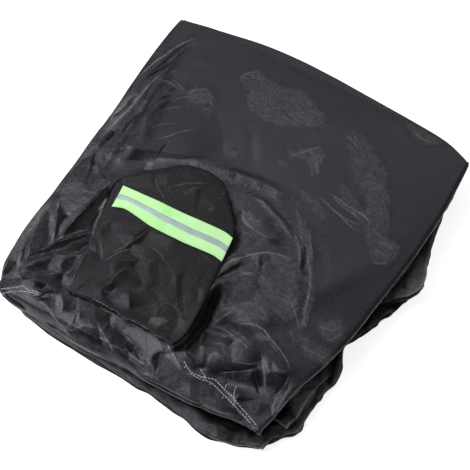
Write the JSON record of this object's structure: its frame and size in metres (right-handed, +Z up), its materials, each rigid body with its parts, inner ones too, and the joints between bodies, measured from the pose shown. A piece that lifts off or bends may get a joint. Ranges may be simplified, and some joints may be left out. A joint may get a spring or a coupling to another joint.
{
  "type": "motorcycle cover",
  "caption": "Motorcycle cover of black coated cloth, folded into a loose stack, with a dome-shaped mirror pocket flat on top that a green ribbon with a silver stripe crosses.",
  "frame": {"origin": "middle of the footprint's bounding box, on the surface that the stack lies on", "axes": "+X across the stack from its left side to its right side, +Y from the open front folds to the back folds, +Z up"},
  "size_m": [0.4372, 0.4756, 0.0549],
  "materials": {
    "cover_fabric": "black coated plain-weave polyester with a soft sheen, finely creased",
    "pocket_fabric": "the same black cloth, less creased and more matt",
    "green_ribbon": "bright green woven ribbon, matt",
    "silver_tape": "silver-grey glass-bead reflective tape, satin"
  },
  "bodies": {
    "root": {"cover_cloth": "cover_fabric", "mirror_pocket": "pocket_fabric", "reflective_band": "green_ribbon", "silver_stripe": "silver_tape"}
  },
  "joints": []
}
